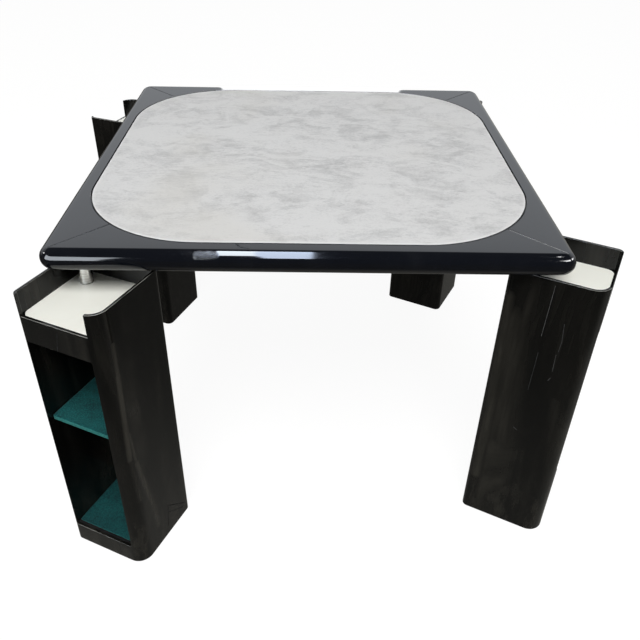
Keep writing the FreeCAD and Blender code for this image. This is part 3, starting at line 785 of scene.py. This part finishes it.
def quarter_turn(high, radius):
    """Heights and insets of an edge that is rolled over, from its side up to its top."""
    turns = [math.radians(90 * step / TURN_STEPS) for step in range(TURN_STEPS + 1)]
    return [(high - radius + radius * math.sin(turn), radius * (1 - math.cos(turn))) for turn in turns]


def make_suede(shape):
    """The suede from its foot to its face, with the nearness to its edge kept in each point."""
    edge = shape.verts.layers.float.new("edge")
    rows = [(SUEDE_LOW, 0.0, 1.0)]
    rows += [(height, inset, 1.0) for height, inset in quarter_turn(SUEDE_HIGH, SUEDE_TURN)]
    rows += [(SUEDE_HIGH, 0.004, 0.35), (SUEDE_HIGH, 0.009, 0.0)]
    reach = [side - FIELD_GAP for side in (RECESS_HALF_X, RECESS_HALF_Y, RECESS_RADIUS)]
    loops = []
    for height, inset, share in rows:
        loop = []
        for point in full_path(*reach, inset):
            vert = shape.verts.new((point.x, point.y, height))
            vert[edge] = share
            loop.append(vert)
        loops.append(loop)
    join_loops(shape, loops)


field = build_object("suede_field", make_suede, suede, "table_top", ["playing_field_suede"])
print(field.name, len(field.data.polygons), "faces")

# %% [markdown]
# ## Turned pins
#
# Each leg hangs on a steel pin: a flange screwed to the underside, a bright shoulder above the tray
# and a thinner spindle in the bush. A turned part is a profile swept round an axis, so the mesh is
# a stack of circles, with small chamfers where a lathe tool would leave them.

# %% Build the pins
CORNERS = {"front_left": 0, "front_right": 1, "back_right": 2, "back_left": 3}
SIGNS = ((-1, -1), (1, -1), (1, 1), (-1, 1))
PIN_REACH = 0.436
FLANGE, SHOULDER, SPINDLE = 0.030, 0.0135, 0.008
FLANGE_DEPTH, GROOVE, SEAT_GAP = 0.004, 0.0004, 0.0003
ROUND_STEPS, GLIDE_STEPS = 72, 40


def pin_axis(corner):
    """Where a corner's pin stands."""
    sign_x, sign_y = SIGNS[CORNERS[corner]]
    return Vector((sign_x * PIN_REACH, sign_y * PIN_REACH, 0))


def on_circle(radius, angle, height):
    """A point at an angle round an upright axis."""
    return Vector((radius * math.cos(angle), radius * math.sin(angle), height))


def turned_loops(shape, profile, centre, steps):
    """Circles about an upright axis, from (radius, height) pairs; a radius may follow the angle."""
    loops = []
    for radius, height in profile:
        loop = []
        for k in range(steps):
            angle = 2 * math.pi * k / steps
            reach = radius(angle) if callable(radius) else radius
            loop.append(shape.verts.new(centre + on_circle(reach, angle, height)))
        loops.append(loop)
    return loops


def make_pin(corner):
    """The pin's profile, from the spindle's end up to the underside of the top."""
    low, high = (corner_point.z for corner_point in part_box(f"pivot_pin_{corner}"))
    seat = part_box(f"leg_{corner}_bearing_board")[1].z + SEAT_GAP
    face = high - FLANGE_DEPTH
    profile = [
        (SPINDLE - 0.001, low), (SPINDLE, low + 0.001), (SPINDLE, seat),
        (SHOULDER - 0.0008, seat), (SHOULDER, seat + 0.0008), (SHOULDER, face - 0.010),
        (SHOULDER - GROOVE, face - 0.0096), (SHOULDER - GROOVE, face - 0.0086), (SHOULDER, face - 0.0082),
        (SHOULDER, face - 0.0015), (SHOULDER + 0.0005, face - 0.0005), (SHOULDER + 0.0015, face),
        (FLANGE - 0.0006, face), (FLANGE, face + 0.0006), (FLANGE, high - 0.0004), (FLANGE - 0.0004, high),
    ]
    return lambda shape: join_loops(shape, turned_loops(shape, profile, pin_axis(corner), ROUND_STEPS))


for corner in CORNERS:
    node = f"pivot_pin_{corner}"
    pin = build_object(f"turned_pin_{corner}", make_pin(corner), steel, BODY_OF[node], [node])
print("pins:", len(CORNERS), "faces each:", len(pin.data.polygons))

# %% [markdown]
# ## Felt-covered shelves
#
# The shelf in each leg is a board with felt glued over its top and round its front edge. Seen from
# outside it is one soft-edged slab, so board and felt become one piece with a rolled edge. Shelf and
# floor felt stop a little short of the leg's open face, so that face keeps a clean black rim. They
# are drawn in the leg's own frame and then turned about the pin with the leg.

# %% Build the shelves
LEG_SIDE, WALL_AND_GAP, PIN_OFFSET = 0.187, 0.0062, 0.038
SMALL, LARGE, WRAP, TIP = 0.013, 0.016, 0.033, 0.0110
SET_BACK = 0.008
SHELF_ROLL, FLOOR_ROLL, FOOT_EDGE = 0.0036, 0.0012, 0.0004
LEG_CORNER_STEPS = 8
SWING = {joint["child"]: joint["range_deg"][1] for joint in frame["record"]["behaviour"]["joints"]}


def leg_matrix(corner):
    """Takes a point of a leg's own frame to its place under the table."""
    turn = math.radians(90 * CORNERS[corner] - SWING[f"leg_{corner}"])
    from_pin = Matrix.Translation((-PIN_OFFSET, -PIN_OFFSET, 0))
    return Matrix.Translation(pin_axis(corner)) @ Matrix.Rotation(turn, 4, "Z") @ from_pin


def leg_outline(corner, inset):
    """The outline of a board in a leg's cavity, moved inwards, with its four different corners."""
    left_handed = CORNERS[corner] % 2 == 0
    radii = [LARGE, TIP, WRAP, SMALL] if left_handed else [SMALL, WRAP, TIP, LARGE]
    low, high = WALL_AND_GAP + inset, LEG_SIDE - WALL_AND_GAP - inset
    front = high - SET_BACK
    points = []
    for k, (x, y) in enumerate(((low, low), (front, low), (front, high), (low, high))):
        radius = max(radii[k] - WALL_AND_GAP - inset, 0.0005)
        centre = (x + radius if x == low else x - radius, y + radius if y == low else y - radius)
        for step in range(LEG_CORNER_STEPS + 1):
            angle = math.radians(180 + 90 * k + 90 * step / LEG_CORNER_STEPS)
            points.append((centre[0] + radius * math.cos(angle), centre[1] + radius * math.sin(angle)))
    return points


def make_felted(corner, nodes, roll):
    """One slab from the lowest to the highest of its nodes, with a rolled upper edge."""
    low = min(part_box(node)[0].z for node in nodes)
    high = max(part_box(node)[1].z for node in nodes)
    rows = [(low, FOOT_EDGE), (low + FOOT_EDGE, 0.0), *quarter_turn(high, roll)]

    def maker(shape):
        place = leg_matrix(corner)
        join_loops(shape, [
            [shape.verts.new(place @ Vector((x, y, height))) for x, y in leg_outline(corner, inset)]
            for height, inset in rows
        ])
    return maker


for corner in CORNERS:
    for name, nodes, roll in (
        ("felt_shelf", [f"leg_{corner}_shelf", f"leg_{corner}_shelf_felt"], SHELF_ROLL),
        ("felt_floor", [f"leg_{corner}_floor_felt"], FLOOR_ROLL),
    ):
        recipe = make_felted(corner, nodes, roll)
        slab = build_object(f"{name}_{corner}", recipe, felt, f"leg_{corner}", nodes)
print("felted slabs:", 2 * len(CORNERS), "faces each:", len(slab.data.polygons))

# %% [markdown]
# ## Screws, nuts and glides
#
# Small hardware repeats: four screws in each flange, a nut below each bush and four glides under
# each leg. One Geometry Nodes tree puts a piece on every point, turned by a seeded random angle,
# because no two screws stop at the same turn. The result is then kept as one plain mesh a body.

# %% Build the repeating tree
repeat_tree = bpy.data.node_groups.new("hardware_on_points", "GeometryNodeTree")
for label, direction, kind in (
    ("Places", "INPUT", "Geometry"), ("Piece", "INPUT", "Object"), ("Finish", "INPUT", "Material"),
    ("Most Turn", "INPUT", "Float"), ("Seed", "INPUT", "Int"), ("Hardware", "OUTPUT", "Geometry"),
):
    repeat_tree.interface.new_socket(label, in_out=direction, socket_type=f"NodeSocket{kind}")
tree = repeat_tree
given = tree.nodes.new("NodeGroupInput").outputs
points = add_node(tree, "GeometryNodeMeshToPoints", Mesh=given["Places"]).outputs[0]
piece_shape = add_node(tree, "GeometryNodeObjectInfo", Object=given["Piece"]).outputs["Geometry"]
random_turn = tree.nodes.new("FunctionNodeRandomValue")
tree.links.new(given["Most Turn"], random_turn.inputs[3])
tree.links.new(given["Seed"], random_turn.inputs["Seed"])
upright = add_node(tree, "ShaderNodeCombineXYZ", Z=random_turn.outputs[1]).outputs[0]
rotation = add_node(tree, "FunctionNodeEulerToRotation", _0=upright).outputs[0]
placed = add_node(
    tree, "GeometryNodeInstanceOnPoints", Points=points, Instance=piece_shape, Rotation=rotation,
).outputs[0]
solid = add_node(tree, "GeometryNodeRealizeInstances", Geometry=placed).outputs[0]
finished = add_node(tree, "GeometryNodeSetMaterial", Geometry=solid, Material=given["Finish"]).outputs[0]
tree.links.new(finished, tree.nodes.new("NodeGroupOutput").inputs[0])
sockets = repeat_tree.interface.items_tree
SOCKET_KEYS = {item.name: item.identifier for item in sockets if item.in_out == "INPUT"}
print("tree:", repeat_tree.name, "inputs:", list(SOCKET_KEYS))


# %% Place hardware with the tree
def set_out(name, piece_maker, spots, material, body, replaced, most_turn, seed):
    """Puts a piece on every spot and keeps the result as one plain mesh."""
    piece = mesh_object(f"{name}_pattern", piece_maker)
    host = mesh_object(f"{name}_places", lambda shape: [shape.verts.new(spot) for spot in spots])
    modifier = host.modifiers.new("hardware", "NODES")
    modifier.node_group = repeat_tree
    for label, value in (("Piece", piece), ("Finish", material), ("Most Turn", most_turn), ("Seed", seed)):
        modifier[SOCKET_KEYS[label]] = value
    mesh = bpy.data.meshes.new_from_object(host.evaluated_get(bpy.context.evaluated_depsgraph_get()))
    for spare in (host, piece):
        bpy.data.objects.remove(spare)
    mesh.name = name
    return fix_to_body(add_object(name, mesh), body, replaced)


# %% Set the flange screws
SCREW_CIRCLE, SCREW_HEAD, HEAD_HEIGHT = 0.023, 0.004, 0.0022
CROSS_ARM, CROSS_WIDTH, CROSS_DEPTH = 0.0021, 0.00055, 0.0010
DOME_FALL = 0.55


def make_screw(shape):
    """A pan head with a cross recess, hanging below its seat."""
    rings, steps = 10, 48
    previous = None
    middle = shape.verts.new((0, 0, -HEAD_HEIGHT + CROSS_DEPTH))
    for ring in range(1, rings + 1):
        radius = SCREW_HEAD * ring / rings
        loop = []
        for k in range(steps):
            angle = 2 * math.pi * k / steps
            x, y = radius * math.cos(angle), radius * math.sin(angle)
            in_cross = min(abs(x), abs(y)) < CROSS_WIDTH and max(abs(x), abs(y)) < CROSS_ARM
            dome = HEAD_HEIGHT * (1 - DOME_FALL * (ring / rings) ** 4)
            loop.append(shape.verts.new((x, y, -dome + (CROSS_DEPTH if in_cross else 0))))
        if previous is None:
            for k in range(steps):
                shape.faces.new((middle, loop[(k + 1) % steps], loop[k]))
        else:
            skin(shape, previous, loop)
        previous = loop
    rim = [shape.verts.new((v.co.x, v.co.y, 0)) for v in previous]
    skin(shape, previous, rim)
    shape.faces.new(rim)


screw_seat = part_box("pivot_pin_front_left")[1].z - FLANGE_DEPTH
screw_spots = []
for corner in CORNERS:
    for quarter in range(4):
        screw_spots.append(pin_axis(corner) + on_circle(SCREW_CIRCLE, quarter * math.pi / 2, screw_seat))
screws = set_out(
    "cross_head_screws", make_screw, screw_spots, steel, "table_top", ["flange_screws"], math.pi, 4,
)
print("screws:", len(screw_spots), "faces:", len(screws.data.polygons))

# %% Set the nuts
NUT_FLANGE, NUT_FLANGE_HEIGHT = 0.015, 0.002
NUT_REACH, NUT_CHAMFERED, NUT_HEIGHT, NUT_BORE = 0.0135, 0.0122, 0.010, 0.00805


def hexagon(reach, cap=1.0):
    """Distance to a hexagon's side at an angle, with its corners turned off."""
    def radius(angle):
        turned_angle = (angle % (math.pi / 3)) - math.pi / 6
        return min(reach * math.cos(math.pi / 6) / math.cos(turned_angle), cap)
    return radius


def make_nut(shape):
    """A flange nut with chamfered corners and a plain bore, hanging below its seat."""
    hex_low, hex_high = -NUT_FLANGE_HEIGHT - NUT_HEIGHT, -NUT_FLANGE_HEIGHT
    profile = [
        (NUT_BORE, 0), (NUT_BORE, hex_low + 0.0006), (NUT_BORE + 0.0006, hex_low),
        (hexagon(NUT_REACH, NUT_CHAMFERED), hex_low), (hexagon(NUT_REACH), hex_low + 0.0012),
        (hexagon(NUT_REACH), hex_high), (NUT_FLANGE - 0.0004, hex_high), (NUT_FLANGE, hex_high + 0.0004),
        (NUT_FLANGE, -0.0003), (NUT_FLANGE - 0.0003, 0),
    ]
    loops = turned_loops(shape, profile, Vector(), ROUND_STEPS)
    for low, high in zip(loops, loops[1:] + loops[:1]):
        skin(shape, low, high)


nut_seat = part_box("retaining_nuts")[1].z
nut_spots = [pin_axis(corner) + Vector((0, 0, nut_seat)) for corner in CORNERS]
nuts = set_out("flange_nuts", make_nut, nut_spots, steel, "table_top", ["retaining_nuts"], math.pi, 9)
print("nuts:", len(nut_spots), "faces:", len(nuts.data.polygons))

# %% Set the glides
GLIDE, GLIDE_INSET = 0.011, 0.030


def make_glide(height):
    """A round foot with a softened lower edge."""
    profile = [
        (GLIDE - 0.0030, 0), (GLIDE - 0.0015, 0.0004), (GLIDE - 0.0004, 0.0015), (GLIDE, 0.0030),
        (GLIDE, height),
    ]
    return lambda shape: join_loops(shape, turned_loops(shape, profile, Vector(), GLIDE_STEPS))


for corner in CORNERS:
    node = f"leg_{corner}_glides"
    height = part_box(node)[1].z
    near, far = GLIDE_INSET, LEG_SIDE - GLIDE_INSET
    glide_spots = [leg_matrix(corner) @ Vector((x, y, 0)) for x in (near, far) for y in (near, far)]
    glides = set_out(
        f"rounded_glides_{corner}", make_glide(height), glide_spots, nylon, f"leg_{corner}",
        [node], 0.0, 1,
    )
print("glides:", 4 * len(CORNERS), "faces a leg:", len(glides.data.polygons))

# %% [markdown]
# ## Light, floor and background
#
# Black lacquer shows its surroundings more than itself. A pale wall behind the table makes the flat
# frame grey, a dark room in front keeps the rounded edge black, and a few cards that only gloss
# can see draw the highlights. The even light on the suede comes from the world. The eye sees a
# white floor with the table's shadow, but gloss sees a darker, glowing one with painted light and
# painted shade in bands across the room: lighter in front of and behind the table, darker under it
# and at the front left.

# %% Make the floor
FLOOR_GREY, FLOOR_WARM = (0.42, 0.42, 0.41, 1), (1.0, 0.98, 0.90, 1)
FLOOR_HALF, FLOOR_IN_GLOSS = 30.0, 0.11
WHITE_STRENGTH, WHITE_SHARE = 1.25, 0.75
PAINTED_LIGHT_BANDS = ((-1.25, -0.6, 0.17), (-0.55, -0.2, -0.14), (0.0, 0.5, 0.01), (1.2, 2.5, 0.30))


def emission_mix(tree, base, strength, factor, colour=(1, 1, 1, 1)):
    """Lays a glow over a shader by a mask."""
    glow = add_node(tree, "ShaderNodeEmission", Color=colour, Strength=strength).outputs[0]
    return add_node(tree, "ShaderNodeMixShader", _0=factor, _1=base, _2=glow).outputs[0]


def seen_in_gloss_or_glass(tree, path):
    """A mask for the rays that a glossy or clear surface sends on."""
    return larger(tree, path["Is Glossy Ray"], path["Is Transmission Ray"])


floor_material = bpy.data.materials.new("pale_floor")
floor_material.use_nodes = True
tree = floor_material.node_tree
tree.nodes.remove(tree.nodes["Principled BSDF"])
path = add_node(tree, "ShaderNodeLightPath").outputs
place = add_node(tree, "ShaderNodeTexCoord").outputs["Object"]
spot = add_node(tree, "ShaderNodeSeparateXYZ", Vector=place).outputs
matt = add_node(tree, "ShaderNodeBsdfDiffuse", Color=FLOOR_GREY).outputs[0]
seen_by_gloss = seen_in_gloss_or_glass(tree, path)
# What gloss sees of the floor glows in bands: painted light in front of and behind the table, painted shade
# under it and at the front left.
mirror_level = FLOOR_IN_GLOSS
for near, far, change in PAINTED_LIGHT_BANDS:
    mirror_level = plus(tree, mirror_level, ramp_between(tree, spot["Y"], near, far, 0.0, change))
left_side = ramp_between(tree, spot["X"], -1.6, -0.7, 0.7, 0.0)
shaded = times(tree, left_side, ramp_between(tree, spot["Y"], -1.1, -0.5))
mirror_level = times(tree, mirror_level, calculate(tree, "SUBTRACT", 1.0, shaded))
floor_shader = emission_mix(tree, matt, mirror_level, seen_by_gloss, FLOOR_WARM)
seen_by_eye = times(tree, path["Is Camera Ray"], WHITE_SHARE)
floor_shader = emission_mix(tree, floor_shader, WHITE_STRENGTH, seen_by_eye)
tree.links.new(floor_shader, tree.nodes["Material Output"].inputs["Surface"])

floor_mesh = bpy.data.meshes.new("floor")
floor_mesh.from_pydata([(x * FLOOR_HALF, y * FLOOR_HALF, 0) for x, y in SIGNS], [], [(0, 1, 2, 3)])
floor_mesh.materials.append(floor_material)
floor = add_object("floor", floor_mesh)
print("floor:", 2 * FLOOR_HALF, "m square")

# %% Light the world
EVEN_LIGHT, ROOM_IN_GLOSS = 0.22, 0.10
PLAIN_WHITE, WALL_WHITE = (1, 1, 1, 1), (0.91, 0.95, 1, 1)
world = bpy.data.worlds.new("studio")
bpy.context.scene.world = world
world.use_nodes = True
tree = world.node_tree
tree.nodes.remove(tree.nodes["Background"])
path = add_node(tree, "ShaderNodeLightPath").outputs
direction = add_node(tree, "ShaderNodeTexCoord").outputs["Generated"]
parts = add_node(tree, "ShaderNodeSeparateXYZ", Vector=direction).outputs
wall = ramp_between(tree, parts["Z"], 0.55, 0.68, 1.0, 0.0)
wall = times(tree, wall, ramp_between(tree, parts["Z"], 0.1, 0.55, 0.62, 1.2))
wall = times(tree, wall, ramp_between(tree, parts["Y"], 0.05, 0.45))
even, mirrored, white = (
    add_node(tree, "ShaderNodeBackground", Color=colour, Strength=strength).outputs[0]
    for colour, strength in (
        (PLAIN_WHITE, EVEN_LIGHT), (WALL_WHITE, plus(tree, wall, ROOM_IN_GLOSS)), (PLAIN_WHITE, 1.0),
    )
)
seen_by_gloss = seen_in_gloss_or_glass(tree, path)
surround = add_node(tree, "ShaderNodeMixShader", _0=seen_by_gloss, _1=even, _2=mirrored).outputs[0]
surround = add_node(tree, "ShaderNodeMixShader", _0=path["Is Camera Ray"], _1=surround, _2=white).outputs[0]
tree.links.new(surround, tree.nodes["World Output"].inputs["Surface"])
print("world:", world.name)

# %% Hang the lamps


def hang_lamp(name, place, target, size, radiance, colour=(1, 1, 1), seen_in_gloss=False, roll=0.0):
    """A rectangular lamp facing a point. It either lights matt faces or draws a highlight."""
    lamp = bpy.data.lights.new(name, "AREA")
    lamp.shape = "RECTANGLE"
    lamp.size, lamp.size_y = size
    lamp.energy = radiance * math.pi * size[0] * size[1]
    lamp.color = colour
    holder = bpy.data.objects.new(name, lamp)
    holder.location = place
    aim = (Vector(target) - Vector(place)).to_track_quat("-Z", "Y")
    holder.rotation_euler = (aim @ Quaternion((0, 0, 1), roll)).to_euler()
    holder.visible_camera = False
    holder.visible_diffuse = not seen_in_gloss
    holder.visible_glossy = seen_in_gloss
    bpy.context.scene.collection.objects.link(holder)


PALE_BLUE, SKY_BLUE, WHITE = (0.86, 0.93, 1.0), (0.68, 0.79, 1.0), (1.0, 1.0, 1.0)
NEAR_LEFT, NEAR_RIGHT = (-0.40, -0.50, 0.72), (0.48, -0.46, 0.72)
hang_lamp("window_light", (-0.3, -4.5, 7.5), (0.0, -0.1, 0.7), (4.0, 4.0), 11.8)
for name, place, target, size, radiance, colour, roll_degrees in (
    ("skylight_left_card", (-0.32, -0.45, 2.3), (-0.32, -0.45, 0.7), (0.20, 1.5), 26.0, PALE_BLUE, 0),
    ("skylight_right_card", (-0.10, -0.925, 2.3), (-0.10, -0.925, 0.7), (0.24, 2.45), 22.0, SKY_BLUE, 0),
    ("window_card", (-2.2, -2.57, 1.65), (-0.4, -0.5, 1.65), (2.5, 1.9), 10.0, PALE_BLUE, 0),
    ("far_window_card", (0.01, 4.0, 1.10), (0.01, 0.48, 1.10), (1.42, 1.60), 3.9, WHITE, 0),
    ("left_spark_card", (-3.1, -0.3, 2.1), NEAR_LEFT, (0.35, 0.35), 25.0, WHITE, 0),
    ("tube_card", (1.156, -0.35, 2.6), (1.156, -0.35, 0.7), (0.020, 0.35), 30.0, WHITE, 0),
    ("lintel_card", (1.985, -1.48, 2.235), NEAR_RIGHT, (1.63, 0.40), 25.0, WHITE, -24),
    ("right_spark_card", (2.78, -0.24, 1.67), NEAR_RIGHT, (0.35, 0.5), 25.0, WHITE, 0),
):
    hang_lamp(name, place, target, size, radiance, colour, True, math.radians(roll_degrees))

# %% Finish
bpy.context.scene.view_settings.view_transform = "Standard"
